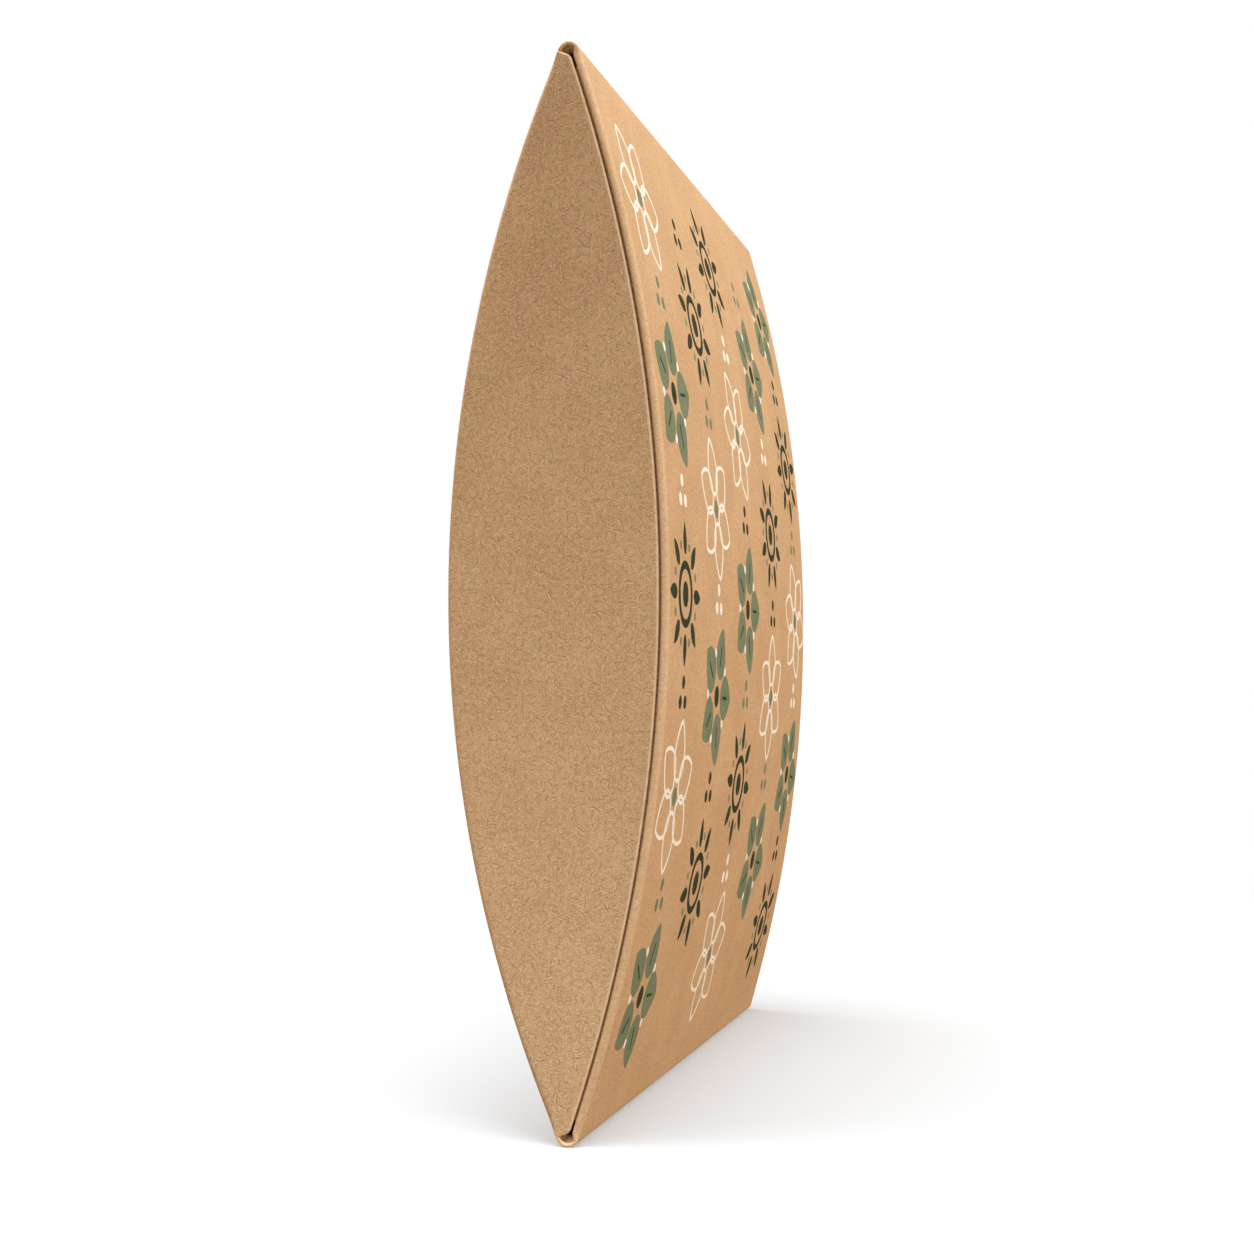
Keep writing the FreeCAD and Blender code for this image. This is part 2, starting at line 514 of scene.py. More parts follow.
def make_flap(name, flap):
    edge_share = rim_round / height
    band_share = rim_band / height
    plate = [(share, 0.0, 0.0) for share in eased(flap_rows) if band_share < share < 1 - band_share]
    tip = [(0.0, rim_round, 1.0), (edge_share, 0.0, 1.0), (band_share, 0.0, 0.0)]
    rows = tip + plate + [(1 - share, thin, mark) for share, thin, mark in tip[::-1]]
    loops = [flap.loop(share, thin) for share, thin, mark in rows]
    outer_count = len(loops[0][0])
    edge_count = len(loops[0][1])
    count = 2 * outer_count + edge_count
    points, cut_edge_and_painted_shade_marks = [], []
    flat_loops = []
    for (outer, edge, inner), (share, thin, mark) in zip(loops, rows):
        whole = outer + edge + inner[::-1]
        flat_loops.append(whole)
        points += [place[0] for place in whole]
        cut_edge_and_painted_shade_marks += [max(place[1], mark) for place in whole]

    def place_map(k, j, shift):
        point = flat_loops[k][j][0]
        run = point.y - flap.side * (point.x * flap.end - end_x(point.z)) if flap.crease else point.y
        return (run * flap.end + shift, point.z)

    faces, maps, slots = [], [], []

    def add(corners, slot, shift):
        if flap.end == RIGHT:
            corners = corners[::-1]
        faces.append([k * count + j for k, j in corners])
        maps.append([place_map(k, j, shift) for k, j in corners])
        slots.append(slot)

    for k in range(len(loops) - 1):
        for j in range(count):
            beside = (j + 1) % count
            corners = [(k, j), (k, beside), (k + 1, beside), (k + 1, j)]
            if j >= outer_count + edge_count - 1:
                add(corners, 1, inner_map_shift)
            else:
                add(corners, 0, 0)
    for k, order in ((0, -1), (len(loops) - 1, 1)):
        for j in range(outer_count - 1):
            corners = [(k, j), (k, j + 1), (k, count - 2 - j), (k, count - 1 - j)]
            add(corners[::order], 0, 0)
        last = [(k, outer_count - 1 + i) for i in range(edge_count + 2)]
        add(last[::order], 0, 0)
    return new_object(name, points, faces, maps, slots, {"cut_edge_and_painted_shade": cut_edge_and_painted_shade_marks})


def make_outer_flap(name, end):
    def far_y(z):
        return panel_y(FRONT, z, bead_width + edge_gap)

    flap = Flap(end, BACK, 0.0, bead_round, far_y, outer_tip_back, outer_tip_front, True)
    return make_flap(name, flap)


def make_inner_flap(name, end):
    def far_y(z):
        return min(inner_reach - bulges[FRONT], panel_y(BACK, z, inner_clear))

    root_depth = bead_width - inner_root
    flap = Flap(end, FRONT, inner_flap_depth, root_depth, far_y, inner_tip_root, inner_tip_free, False)
    return make_flap(name, flap)


def bend_flap(made):
    """Bakes a flap's transform into its mesh."""
    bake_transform(made)


def strip_object(name, corners, depth_out, depth_in):
    """A thin plate inside the back panel, from corners of (half length, height), the lower one first."""
    rows, columns = tab_rows, length_steps
    heights = [lerp(corners[0][1], corners[1][1], i / rows) for i in range(rows + 1)]
    points = []
    for depth in (depth_out, depth_in):
        for z in heights:
            share = (z - heights[0]) / (heights[-1] - heights[0])
            half = lerp(corners[0][0], corners[1][0], share)
            y = panel_y(BACK, z, depth)
            points += [Vector((lerp(-half, half, j / columns), y, z)) for j in range(columns + 1)]
    wide = columns + 1
    layer = wide * (rows + 1)
    faces = []
    for i in range(rows):
        for j in range(columns):
            a = i * wide + j
            faces.append((a, a + wide, a + wide + 1, a + 1))
            faces.append((layer + a, layer + a + 1, layer + a + wide + 1, layer + a + wide))
    border = list(range(wide))
    border += [i * wide + columns for i in range(1, rows + 1)]
    border += [rows * wide + j for j in range(columns - 1, -1, -1)]
    border += [i * wide for i in range(rows - 1, 0, -1)]
    for a, b in zip(border, border[1:] + border[:1]):
        faces.append((a, b, layer + b, layer + a))
    maps = [[(points[k].x, points[k].z + tab_map_shift) for k in face] for face in faces]
    edge = set(border)
    cut_edge_and_painted_shade_marks = [1.0 if k % layer in edge else 0.0 for k in range(2 * layer)]
    return new_object(name, points, faces, maps, [0] * len(faces), {"cut_edge_and_painted_shade": cut_edge_and_painted_shade_marks})


def make_glue_tab():
    half = half_length - tab_end_gap
    corners = ((half, tab_root), (half - tab_taper, tab_root + tab_height))
    near = board + glue_film
    return strip_object("glue_tab_board", corners, near, near + board)


def make_glue_line():
    half = half_length - tab_end_gap - glue_margin
    corners = ((half, tab_root + glue_margin), (half - tab_taper, tab_root + tab_height - glue_margin))
    return strip_object("glue_film", corners, board, board + glue_film)


# Print: blossoms, rings and dots in three inks, laid out in half-drop rows over the front panel

ink_heights = {"sage": 0.008 * MM, "white": 0.013 * MM, "dark": 0.018 * MM}   # in the order of printing
ink_depth = 0.03 * MM          # how far a film reaches into the board
film_edge_angle = math.pi / 4  # sharper edges of a film are kept sharp
column_pitch = 20.16 * MM
row_pitch = 23.0 * MM
columns_each_way = 2
rows_each_way = 3
column_turn = 0.4              # how much a motif is turned from one column or row to the next, in radians
row_turn = 0.9
print_margin = 10.0 * MM

# Fineness of the printed shapes
petal_rings = 5
petal_steps = 10
outline_steps = 18
ring_steps = 40
dot_rings = 2
dot_steps = 14
dot_hub_share = 0.15           # share of a dot's radius that its middle face takes

# Form of a petal: powers that move its widest place outwards and make it plump, and the width at its ends
petal_lean = 0.75
petal_plumpness = 0.7
petal_end_share = 0.06

# Solid blossom, with shares of its radius
blossom_radius = 8.9 * MM
blossom_petals = 5
blossom_near_share = 0.26
blossom_width_share = 0.32
blossom_eye_share = 0.15
blossom_dot_share = 0.62
blossom_dot = 0.56 * MM
vein_shares = (0.42, 0.5, 0.58, 0.66, 0.74)
vein_line = 0.375 * MM

# Medal, with shares of its radius
medal_radius = 8.4 * MM
medal_drops = 8
medal_ring_share = 0.4
medal_eye_share = 0.18
drop_near_share = 0.54
drop_far_share = 0.98
drop_width_share = 0.105
medal_dot_share = 0.7
medal_dot = 0.52 * MM
medal_line = 0.96 * MM

# Outlined blossom, with shares of its radius
outline_radius = 8.7 * MM
outline_petals = 6
outline_near_share = 0.2
outline_width_share = 0.3
outline_eye_share = 0.13
outline_line = 0.5 * MM

# Three dots between two motifs
trio_reach = 1.5 * MM
trio_dot = 0.78 * MM
trio_inks = ("dark", "white", "sage")


def around(centre, radius, direction):
    return (centre[0] + radius * math.cos(direction), centre[1] + radius * math.sin(direction))


def directions(count, turn):
    return [turn + math.tau * i / count for i in range(count)]


def petal_axes(direction):
    along = Vector((math.cos(direction), math.sin(direction)))
    return along, Vector((-along.y, along.x))


def petal_swell(share):
    """Half width of a petal at a share of its length, which is largest beyond its middle."""
    return math.sin(math.pi * share ** petal_lean) ** petal_plumpness


class Ink:
    """Flat shapes of one ink, in metres along the panel and up its face."""

    def __init__(self):
        self.points = []
        self.faces = []

    def grid(self, rows, closed=False):
        first = len(self.points)
        wide = len(rows[0])
        for row in rows:
            self.points += row
        for i in range(len(rows) - 1):
            for j in range(wide if closed else wide - 1):
                k = (j + 1) % wide
                a, b = first + i * wide, first + (i + 1) * wide
                self.faces.append((a + j, a + k, b + k, b + j))

    def disc(self, centre, radius):
        rings = []
        for i in range(dot_rings + 1):
            reach = radius * lerp(dot_hub_share, 1.0, i / dot_rings)
            rings.append([around(centre, reach, direction) for direction in directions(dot_steps, 0)])
        first = len(self.points)
        self.grid(rings, closed=True)
        self.faces.append(tuple(range(first, first + dot_steps)))

    def petal(self, centre, direction, near, far, half_width):
        """A plump petal from near to far along a direction."""
        along, across = petal_axes(direction)
        rows = []
        for share in eased(petal_steps):
            swell = half_width * (petal_swell(share) if 0 < share < 1 else petal_end_share)
            base = Vector(centre) + along * lerp(near, far, share)
            places = [lerp(-swell, swell, j / petal_rings) for j in range(petal_rings + 1)]
            rows.append([tuple(base + across * place) for place in places])
        self.grid(rows)

    def stroke(self, path, width, closed=False):
        """A line of even width along a path."""
        rows = []
        count = len(path)
        for i, point in enumerate(path):
            ahead = path[(i + 1) % count] if closed or i < count - 1 else point
            behind = path[i - 1] if closed or i > 0 else point
            along = (Vector(ahead) - Vector(behind)).normalized()
            across = Vector((-along.y, along.x)) * width / 2
            rows.append([tuple(Vector(point) - across), tuple(Vector(point) + across)])
        if closed:
            rows.append(rows[0])
        self.grid(rows)

    def ring(self, centre, radius, width):
        path = [around(centre, radius, direction) for direction in directions(ring_steps, 0)]
        self.stroke(path, width, closed=True)


def petal_outline(centre, direction, near, far, half_width):
    along, across = petal_axes(direction)
    path = []
    for side in (1, -1):
        for i in range(outline_steps):
            share = i / outline_steps if side > 0 else 1 - i / outline_steps
            swell = half_width * petal_swell(share) if 0 < share < 1 else 0.0
            path.append(tuple(Vector(centre) + along * lerp(near, far, share) + across * side * swell))
    return path


def draw_blossom(inks, centre, turn):
    """Plump veined petals round an eye, with dots between them."""
    radius = blossom_radius
    near, half_width = radius * blossom_near_share, radius * blossom_width_share
    for direction in directions(blossom_petals, turn):
        inks["sage"].petal(centre, direction, near, radius, half_width)
        vein = [around(centre, radius * share, direction) for share in vein_shares]
        inks["dark"].stroke(vein, vein_line)
        between = direction + math.pi / blossom_petals
        inks["white"].disc(around(centre, radius * blossom_dot_share, between), blossom_dot)
    inks["dark"].disc(centre, radius * blossom_eye_share)


def draw_medal(inks, centre, turn):
    """A ring round an eye, with drops and dots about it."""
    radius = medal_radius
    inks["dark"].ring(centre, radius * medal_ring_share, medal_line)
    inks["dark"].disc(centre, radius * medal_eye_share)
    near, far = radius * drop_near_share, radius * drop_far_share
    for direction in directions(medal_drops, turn):
        inks["dark"].petal(centre, direction, near, far, radius * drop_width_share)
        between = direction + math.pi / medal_drops
        inks["sage"].disc(around(centre, radius * medal_dot_share, between), medal_dot)


def draw_outline(inks, centre, turn):
    """A blossom in white line."""
    radius = outline_radius
    near, half_width = radius * outline_near_share, radius * outline_width_share
    for direction in directions(outline_petals, turn):
        path = petal_outline(centre, direction, near, radius, half_width)
        inks["white"].stroke(path, outline_line, closed=True)
    inks["sage"].disc(centre, radius * outline_eye_share)


def draw_trio(ink, centre):
    for direction in directions(3, math.pi / 2):
        ink.disc(around(centre, trio_reach, direction), trio_dot)


def draw_print():
    inks = {"dark": Ink(), "sage": Ink(), "white": Ink()}
    motifs = (draw_blossom, draw_medal, draw_outline)
    limit = panel_radius(FRONT) * panel_half_angle(FRONT) - print_margin
    for column in range(-columns_each_way, columns_each_way + 1):
        for row in range(-rows_each_way, rows_each_way + 1):
            x, up = column * column_pitch, (row + (column % 2) / 2) * row_pitch
            if abs(up) > limit:
                continue
            motif = motifs[(column + 2 * row) % len(motifs)]
            motif(inks, (x, up), column_turn * column + row_turn * row)
            between = up + row_pitch / 2
            if abs(between) < limit:
                draw_trio(inks[trio_inks[(column + row) % len(trio_inks)]], (x, between))
    return inks


def make_ink(name, ink, film_height):
    """Lays an ink's flat shapes on the front panel as a thin closed film."""
    radius = panel_radius(FRONT)
    count = len(ink.points)
    points = []
    for depth in (-film_height, ink_depth):
        for x, up in ink.points:
            y, z = panel_point(FRONT, up / radius, depth)
            points.append(Vector((x, y, z)))
    edges = set()
    for face in ink.faces:
        edges.update(zip(face, face[1:] + face[:1]))
    faces = list(ink.faces)
    faces += [tuple(count + k for k in face[::-1]) for face in ink.faces]
    faces += [(b, a, count + a, count + b) for a, b in sorted(edges) if (b, a) not in edges]
    maps = [[ink.points[k % count] for k in face] for face in faces]
    made = new_object(name, points, faces, maps, [0] * len(faces), {})
    made.data.set_sharp_from_angle(angle=film_edge_angle)
    return made


# Materials

# Colours of the board, the glue and the floor
kraft_base = (0.62, 0.385, 0.21, 1)
kraft_deep = (0.54, 0.32, 0.165, 1)
kraft_pale = (0.76, 0.53, 0.335, 1)
kraft_fibre = (0.16, 0.07, 0.026, 1)
kraft_olive = (0.54, 0.36, 0.18, 1)
kraft_rim = (0.88, 0.62, 0.4, 1)
# painted shade along creases, in the slit and on the noses of folds
painted_crease_shade = (0.34, 0.16, 0.055, 1)
inside_base = (0.52, 0.32, 0.175, 1)
inside_deep = (0.43, 0.25, 0.13, 1)
glue_deep = (0.62, 0.56, 0.42, 1)
glue_pale = (0.8, 0.77, 0.66, 1)
paper_deep = (0.535, 0.515, 0.505, 1)
paper_pale = (0.545, 0.525, 0.515, 1)

# Noises: scale per millimetre (per metre on the floor), detail, roughness and distortion
noise_middle = 0.5
cloud_noise = (0.09, 3.0, 0.6)
grain_noise = (0.9, 4.0, 0.65)
tint_noise = (0.4, 2.0, 0.6)
tooth_noise = (5.0, 3.0, 0.6)
wash_noise = (0.22, 3.0, 0.6)
streak_noise = (0.6, 3.0, 0.6, 0.8)
paper_noise = (6.0, 2.0)
grain_offset = (7.0, 3.0, 0.0)
tint_offset = (31.0, 57.0, 0.0)

# Noise values between which a tone fades out, and the share that the tone has at most
cloud_fade = (0.3, 0.72)
grain_fade = (0.25, 0.75, 0.4)
tint_fade = (0.35, 0.6, 0.3)
wash_fade = (0.3, 0.7)
gap_fade = (0.28, 0.4)

# Fibres, in millimetres: the scale and reach of the noise that curls short and long ones, then for each layer
# its curl, its place on the board, and its cell, half length, half width and share of cells filled
short_curl = (1.6, 0.35)
long_curl = (0.8, 0.9)
short_offset = (37.0, 11.0, 0.0)
curl_detail = 1.0
dark_fibres = (
    ("short", (0.0, 0.0, 0.0), (0.95, 0.46, 0.065, 0.8)),
    ("short", (5.3, 71.0, 0.0), (0.62, 0.3, 0.055, 0.8)),
    ("long", (91.7, 23.0, 0.0), (2.6, 1.0, 0.08, 0.45)),
)
light_fibres = (
    ("short", (13.1, 47.0, 0.0), (0.85, 0.42, 0.065, 0.8)),
    ("short", (61.0, 29.0, 0.0), (0.6, 0.28, 0.055, 0.8)),
    ("long", (91.8, 23.14, 0.0), (2.6, 1.0, 0.09, 0.45)),
)
fibre_bow = 1.6                # range of a fibre's bow at its ends, as a share of its half length
fibre_core_share = 0.4         # shares of its half width and half length where a fibre begins to fade
fibre_end_share = 0.7

# Strength of each effect on the board
light_fibre_share = 0.48
dark_fibre_share = 0.85
fibre_shade_share = 0.5
fleck_strength = 1.6
rim_share = 0.75
# share of the painted shade along creases
painted_crease_shade_share = 0.7
varied_limits = (0.3, 0.7)     # noise values over which a varied share runs through its own range
varied_shares = (0.7, 1.2)
outside_fibres = 0.75          # how strongly fibres show on the outside, the flaps and the inside
flap_fibres = 1.0
inside_fibres = 0.9

# Ink: the colour of each, how much of the board it covers, and how the board shows through
ink_colours = {
    "dark": (0.02, 0.035, 0.018, 1),
    "sage": (0.15, 0.19, 0.115, 1),
    "white": (0.86, 0.8, 0.7, 1),
}
ink_covers = {"dark": 0.9, "sage": 0.75, "white": 0.7}
ink_wash_share = 0.3
ink_fibre_share = 0.35

# Surface: limits of the roughness, level of the gloss, and strength and depth of the relief
kraft_roughness = (0.72, 0.95)
ink_roughness = (0.6, 0.85)
glue_roughness = (0.3, 0.6)
paper_roughness = 0.8
kraft_gloss = 0.12
ink_gloss = 0.06
paper_gloss = 0.1
kraft_relief = (0.35, 0.04 * MM)
ink_relief = (0.25, 0.03 * MM)
glue_relief = (0.4, 0.05 * MM)
tooth_relief_share = 0.5       # shares of the tooth, the light and the dark fibres in the board's relief
light_relief_share = 0.5
dark_relief_share = 0.4


def set_or_link(tree, socket, value):
    if isinstance(value, bpy.types.NodeSocket):
        tree.links.new(value, socket)
    else:
        socket.default_value = value


def add_node(tree, kind, operation=None, **inputs):
    """A node with its inputs set or linked, each by its name or, as i0, i1 and so on, by its place."""
    node = tree.nodes.new(kind)
    if operation:
        node.operation = operation
    for key, value in inputs.items():
        by_place = key[0] == "i" and key[1:].isdigit()
        set_or_link(tree, node.inputs[int(key[1:]) if by_place else key.replace("_", " ")], value)
    return node


def vector_math(tree, operation, **inputs):
    return add_node(tree, "ShaderNodeVectorMath", operation, **inputs).outputs[0]


def math_node(tree, operation, a, b=0.0):
    return add_node(tree, "ShaderNodeMath", operation, i0=a, i1=b).outputs[0]


def times(tree, a, b):
    return math_node(tree, "MULTIPLY", a, b)


def positive(tree, value):
    return math_node(tree, "MAXIMUM", value, 0.0)


def map_range(tree, value, taken, given):
    return add_node(
        tree, "ShaderNodeMapRange", Value=value, From_Min=taken[0], From_Max=taken[1], To_Min=given[0],
        To_Max=given[1],
    )


def ramp_down(tree, value, low, high, top=1.0):
    """The top value below low, 0 above high, smooth between."""
    node = map_range(tree, value, (low, high), (top, 0.0))
    node.interpolation_type = "SMOOTHSTEP"
    return node.outputs[0]


def mix_colour(tree, share, a, b):
    node = tree.nodes.new("ShaderNodeMix")
    node.data_type = "RGBA"
    sockets = [socket for socket in node.inputs if socket.enabled]
    for socket, value in zip(sockets, (share, a, b)):
        set_or_link(tree, socket, value)
    return next(socket for socket in node.outputs if socket.enabled)


def noise_node(tree, vector, scale, detail, roughness=0.5, distortion=0.0):
    return add_node(
        tree, "ShaderNodeTexNoise", Vector=vector, Scale=scale, Detail=detail, Roughness=roughness,
        Distortion=distortion,
    )


def noise(tree, vector, *form):
    return noise_node(tree, vector, *form).outputs[0]


def board_millimetres(tree):
    """Coordinates on the unfolded board, in millimetres."""
    chart = tree.nodes.new("ShaderNodeUVMap")
    chart.uv_map = "board"
    return vector_math(tree, "SCALE", i0=chart.outputs[0], Scale=1 / MM)


def shifted(tree, vector, offset):
    return vector_math(tree, "ADD", i0=vector, i1=offset)


def curled(tree, vector, scale, reach):
    """The coordinates pushed about by a soft noise, so that what is drawn on them curls."""
    cloud = noise_node(tree, vector, scale, curl_detail).outputs["Color"]
    push = vector_math(tree, "SUBTRACT", i0=cloud, i1=(noise_middle,) * 3)
    return shifted(tree, vector, vector_math(tree, "SCALE", i0=push, Scale=reach))


def fibres(tree, vector, cell, half_long, half_wide, picked_share):
    """Short curved strokes, one in each picked cell, turned every way."""
    cells = add_node(tree, "ShaderNodeTexVoronoi", Vector=vector, Scale=1 / cell)
    cells.voronoi_dimensions = "2D"
    away = vector_math(tree, "SUBTRACT", i0=vector, i1=cells.outputs["Position"])
    turn_chance, bow_chance, pick_chance = add_node(
        tree, "ShaderNodeSeparateColor", Color=cells.outputs["Color"],
    ).outputs[:3]
    turned = add_node(tree, "ShaderNodeVectorRotate", Vector=away, Angle=times(tree, turn_chance, math.tau))
    turned.rotation_type = "Z_AXIS"
    along, across = add_node(tree, "ShaderNodeSeparateXYZ", Vector=turned.outputs[0]).outputs[:2]
    lean = times(tree, math_node(tree, "SUBTRACT", bow_chance, noise_middle), fibre_bow / half_long)
    bow = times(tree, times(tree, along, along), lean)
    from_line = math_node(tree, "ABSOLUTE", math_node(tree, "ADD", across, bow))
    thin = ramp_down(tree, from_line, half_wide * fibre_core_share, half_wide)
    short = ramp_down(tree, math_node(tree, "ABSOLUTE", along), half_long * fibre_end_share, half_long)
    picked = math_node(tree, "LESS_THAN", pick_chance, picked_share)
    return times(tree, times(tree, thin, short), picked)


def fibre_curls(tree, spot):
    """Curled coordinates for the short and the long fibres."""
    return {
        "short": curled(tree, shifted(tree, spot, short_offset), *short_curl),
        "long": curled(tree, spot, *long_curl),
    }


def fibre_layers(tree, curls, kinds):
    layers = [fibres(tree, shifted(tree, curls[curl], offset), *form) for curl, offset, form in kinds]
    total = layers[0]
    for layer in layers[1:]:
        total = math_node(tree, "MAXIMUM", total, layer)
    return total


def new_material(name):
    made = bpy.data.materials.new(name)
    made.use_nodes = True
    tree = made.node_tree
    shader = next(node for node in tree.nodes if node.type == "BSDF_PRINCIPLED")
    return made, tree, shader


def finish_surface(tree, shader, colour, rough_by, rough_limits, relief, relief_form):
    """Links a material's colour, its roughness that follows a noise, and its relief."""
    tree.links.new(colour, shader.inputs["Base Color"])
    rough = map_range(tree, rough_by, (0.0, 1.0), rough_limits)
    tree.links.new(rough.outputs[0], shader.inputs["Roughness"])
    bump = add_node(tree, "ShaderNodeBump", Height=relief, Strength=relief_form[0], Distance=relief_form[1])
    tree.links.new(bump.outputs[0], shader.inputs["Normal"])


def edge_shares(tree):
    """(share of a cut edge, share of painted shade along creases and fold noses) at a place on the board."""
    # the attribute is above 0 on paler cut edges and below 0 where shade is painted
    mark = add_node(tree, "ShaderNodeAttribute")
    mark.attribute_name = "cut_edge_and_painted_shade"
    value = mark.outputs["Fac"]
    return positive(tree, value), positive(tree, times(tree, value, -1.0))


def varied_share(tree, value, share):
    """A share that varies a little with a noise value."""
    return map_range(tree, value, varied_limits, [share * varied for varied in varied_shares]).outputs[0]


def kraft(name, base, deep, pale, fibre_share):
    """Uncoated kraft board: clouded pulp, dark and light fibres, a tooth in its surface, paler cut edges, and
    painted shade along creases, in the slit and on the noses of folds."""
    made, tree, shader = new_material(name)
    spot = board_millimetres(tree)
    cloud = noise(tree, spot, *cloud_noise)
    grain = noise(tree, shifted(tree, spot, grain_offset), *grain_noise)
    tint = noise(tree, shifted(tree, spot, tint_offset), *tint_noise)
    tooth = noise(tree, spot, *tooth_noise)
    curls = fibre_curls(tree, spot)
    dark = fibre_layers(tree, curls, dark_fibres)
    light = fibre_layers(tree, curls, light_fibres)
    colour = mix_colour(tree, ramp_down(tree, cloud, *cloud_fade), base, deep)
    colour = mix_colour(tree, ramp_down(tree, grain, *grain_fade), colour, deep)
    colour = mix_colour(tree, ramp_down(tree, tint, *tint_fade), colour, kraft_olive)
    colour = mix_colour(tree, times(tree, light, light_fibre_share * fibre_share), colour, pale)
    shade = mix_colour(tree, fibre_shade_share, colour, kraft_fibre)
    colour = mix_colour(tree, times(tree, dark, dark_fibre_share * fibre_share), colour, shade)
    fleck = times(tree, math_node(tree, "SUBTRACT", tooth, noise_middle), fleck_strength * fibre_share)
    cut, crease = edge_shares(tree)
    marks = (
        (positive(tree, fleck), pale),
        (positive(tree, times(tree, fleck, -1.0)), kraft_fibre),
        (times(tree, cut, varied_share(tree, grain, rim_share)), kraft_rim),
        # painted shade along creases, in the slit and on fold noses
        (times(tree, crease, varied_share(tree, grain, painted_crease_shade_share)), painted_crease_shade),
    )
    for share, tone in marks:
        colour = mix_colour(tree, share, colour, tone)
    high = times(tree, light, light_relief_share * fibre_share)
    raised = math_node(tree, "ADD", times(tree, tooth, tooth_relief_share), high)
    relief = math_node(tree, "SUBTRACT", raised, times(tree, dark, dark_relief_share * fibre_share))
    finish_surface(tree, shader, colour, grain, kraft_roughness, relief, kraft_relief)
    shader.inputs["Specular IOR Level"].default_value = kraft_gloss
    return made


def ink_material(name, colour, cover):
    """Ink on uncoated board: it sinks in unevenly, and fibres show through it."""
    made, tree, shader = new_material(name)
    spot = board_millimetres(tree)
    wash = noise(tree, spot, *wash_noise)
    tooth = noise(tree, spot, *tooth_noise)
    light = fibre_layers(tree, fibre_curls(tree, spot), light_fibres)
    bare = 1 - cover
    paler = tuple(lerp(a, b, ink_wash_share * bare) for a, b in zip(colour, kraft_base))
    tone = mix_colour(tree, ramp_down(tree, wash, *wash_fade), colour, paler)
    gaps = math_node(tree, "MAXIMUM", times(tree, light, ink_fibre_share), ramp_down(tree, tooth, *gap_fade))
    tone = mix_colour(tree, times(tree, gaps, bare), tone, kraft_base)
    finish_surface(tree, shader, tone, tooth, ink_roughness, tooth, ink_relief)
    shader.inputs["Specular IOR Level"].default_value = ink_gloss
    return made


def glue_material():
    """Dried white glue, uneven and slightly glossy."""
    made, tree, shader = new_material("dried_glue")
    streak = noise(tree, board_millimetres(tree), *streak_noise)
    tone = mix_colour(tree, streak, glue_deep, glue_pale)
    finish_surface(tree, shader, tone, streak, glue_roughness, streak, glue_relief)
    return made


outside = kraft("kraft_outside", kraft_base, kraft_deep, kraft_pale, outside_fibres)
flap_face = kraft("kraft_flap", kraft_base, kraft_deep, kraft_pale, flap_fibres)
inside = kraft("kraft_inside", inside_base, inside_deep, kraft_base, inside_fibres)
glue = glue_material()


# Pieces

def dress(made, slot, *materials):
    for material in materials:
        made.data.materials.append(material)


sleeve = make_sleeve()
dress(sleeve, "kraft_board", outside, inside)
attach(sleeve, "sleeve")
creases = [name + crease for name in ends for crease in ("_front_crease", "_back_crease")]
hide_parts("front_panel", "back_panel", "bottom_fold", "top_fold", *creases)

for name, end in ends.items():
    for kind, make, side in (("_outer", make_outer_flap, BACK), ("_inner", make_inner_flap, FRONT)):
        flap = make(name + kind + "_board", end)
        dress(flap, "kraft_board", flap_face, inside)
        bend_flap(flap)
        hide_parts(name + kind + "_flap")

tab = make_glue_tab()
dress(tab, "kraft_board", inside)
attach(tab, "sleeve")
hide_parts("glue_tab")
film = make_glue_line()
dress(film, "glue", glue)
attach(film, "sleeve")
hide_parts("glue_line")

for name, ink in draw_print().items():
    printed = make_ink("print_" + name, ink, ink_heights[name])
    dress(printed, "kraft_board", ink_material("ink_" + name, ink_colours[name], ink_covers[name]))
    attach(printed, "sleeve")


# Floor, light and camera, in metres

floor_half = 3.5
dome_radius = 3.4
dome_segments = 48
dome_rings = 24
paper_near = 0.12              # the floor takes shadows fully this near to the box, and none past paper_far
paper_far = 0.36
paper_share = 0.65             # share of its tone that the light on it gives, beside an even white glow
ambient = 0.37
ambient_colour = (1.0, 0.72, 0.4, 1)
cool = (0.78, 0.9, 1.0)
neutral = (1.0, 1.0, 1.0)

# Each softbox: its place, what it points at, its width and height, its power in watts and its colour
softboxes = {
    "top_front": ((-0.2, 0.07, 1.0), (0, 0, 0.05), (1.05, 0.6), 26.5, cool),
    "right_key": ((0.0, -0.9, 0.25), (0, 0, 0.06), (0.6, 0.6), 6.5, neutral),
    "back_fill": ((0.6, 0.8, 0.5), (0, 0, 0.06), (0.8, 0.8), 3.4, neutral),
    "end_fill": ((-1.1, 0.12, 0.16), (-0.05, 0, 0.06), (0.3, 0.28), 1.75, cool),
}

# Camera, level with the lower half of the box, which sees its left end and its printed front
camera_place = (-275.54 * MM, -59.01 * MM, 47.25 * MM)
camera_yaw = math.radians(13.311)
camera_pitch = math.radians(2.153)
camera_lens = 60.87            # in millimetres, for a picture 36 mm wide
near_clip = 0.01


def link_output(tree, shader_node):
    output = next(node for node in tree.nodes if node.type == "OUTPUT_MATERIAL")
    tree.links.new(shader_node.outputs[0], output.inputs[0])


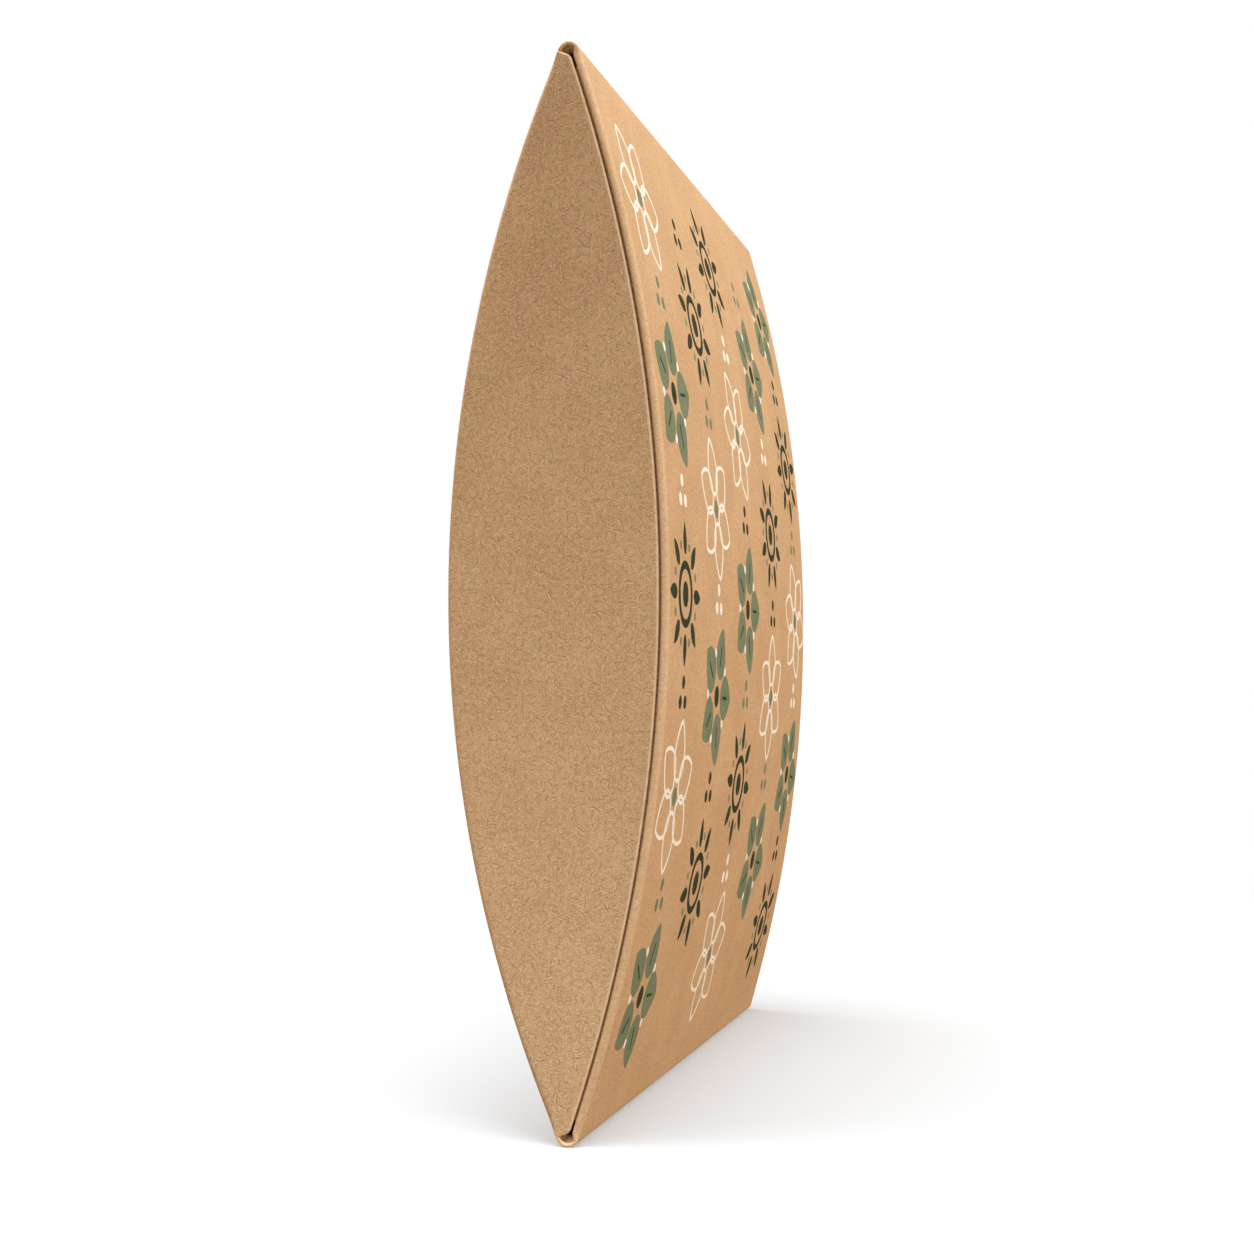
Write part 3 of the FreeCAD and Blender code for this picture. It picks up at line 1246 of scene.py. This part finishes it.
def floor_material():
    """Matt white studio paper, which turns into the white backdrop away from the box."""
    made, tree, shader = new_material("studio_paper")
    place = tree.nodes.new("ShaderNodeTexCoord").outputs["Object"]
    tone = mix_colour(tree, noise(tree, place, *paper_noise), paper_deep, paper_pale)
    tree.links.new(tone, shader.inputs["Base Color"])
    shader.inputs["Roughness"].default_value = paper_roughness
    shader.inputs["Specular IOR Level"].default_value = paper_gloss
    reach = add_node(tree, "ShaderNodeVectorMath", "LENGTH", i0=place)
    near = ramp_down(tree, reach.outputs["Value"], paper_near, paper_far, paper_share)
    glow = tree.nodes.new("ShaderNodeEmission")
    both = add_node(tree, "ShaderNodeMixShader", i0=near, i1=glow.outputs[0], i2=shader.outputs[0])
    link_output(tree, both)
    return made


def make_floor():
    mesh = bpy.data.meshes.new("studio_floor")
    corners = [(x * floor_half, y * floor_half, 0) for x, y in ((-1, -1), (1, -1), (1, 1), (-1, 1))]
    mesh.from_pydata(corners, [], [(0, 1, 2, 3)])
    mesh.materials.append(floor_material())
    made = link_object("studio_floor", mesh)
    made.visible_diffuse = False
    made.visible_glossy = False


def make_backdrop():
    """A white dome all round, which shows behind the box and gives no light."""
    bpy.ops.mesh.primitive_uv_sphere_add(segments=dome_segments, ring_count=dome_rings, radius=dome_radius)
    made = bpy.context.object
    made.name = "studio_backdrop"
    material, tree, shader = new_material("white_backdrop")
    link_output(tree, tree.nodes.new("ShaderNodeEmission"))
    made.data.materials.append(material)
    for ray in ("diffuse", "glossy", "transmission", "volume_scatter", "shadow"):
        setattr(made, "visible_" + ray, False)


def make_world():
    world = bpy.data.worlds.new("studio")
    world.use_nodes = True
    sky = world.node_tree.nodes["Background"]
    sky.inputs["Color"].default_value = ambient_colour
    sky.inputs["Strength"].default_value = ambient
    bpy.context.scene.world = world


def aim(made, place, ahead):
    """Places a lamp or the camera and turns it to look ahead."""
    made.location = place
    made.rotation_mode = "QUATERNION"
    made.rotation_quaternion = ahead.to_track_quat("-Z", "Y")


def add_softbox(name, place, target, sizes, power, colour):
    data = bpy.data.lights.new(name, "AREA")
    data.shape = "RECTANGLE"
    data.size, data.size_y = sizes
    data.energy = power
    data.color = colour
    aim(link_object(name, data), place, Vector(target) - Vector(place))


def make_camera():
    data = bpy.data.cameras.new("camera")
    data.lens = camera_lens
    data.clip_start = near_clip
    camera = link_object("camera", data)
    level = math.cos(camera_pitch)
    ahead = Vector((math.cos(camera_yaw) * level, math.sin(camera_yaw) * level, math.sin(camera_pitch)))
    aim(camera, camera_place, ahead)
    bpy.context.scene.camera = camera


make_floor()
make_backdrop()
make_world()
for name, form in softboxes.items():
    add_softbox(name, *form)
make_camera()
bpy.context.scene.view_settings.view_transform = "Standard"
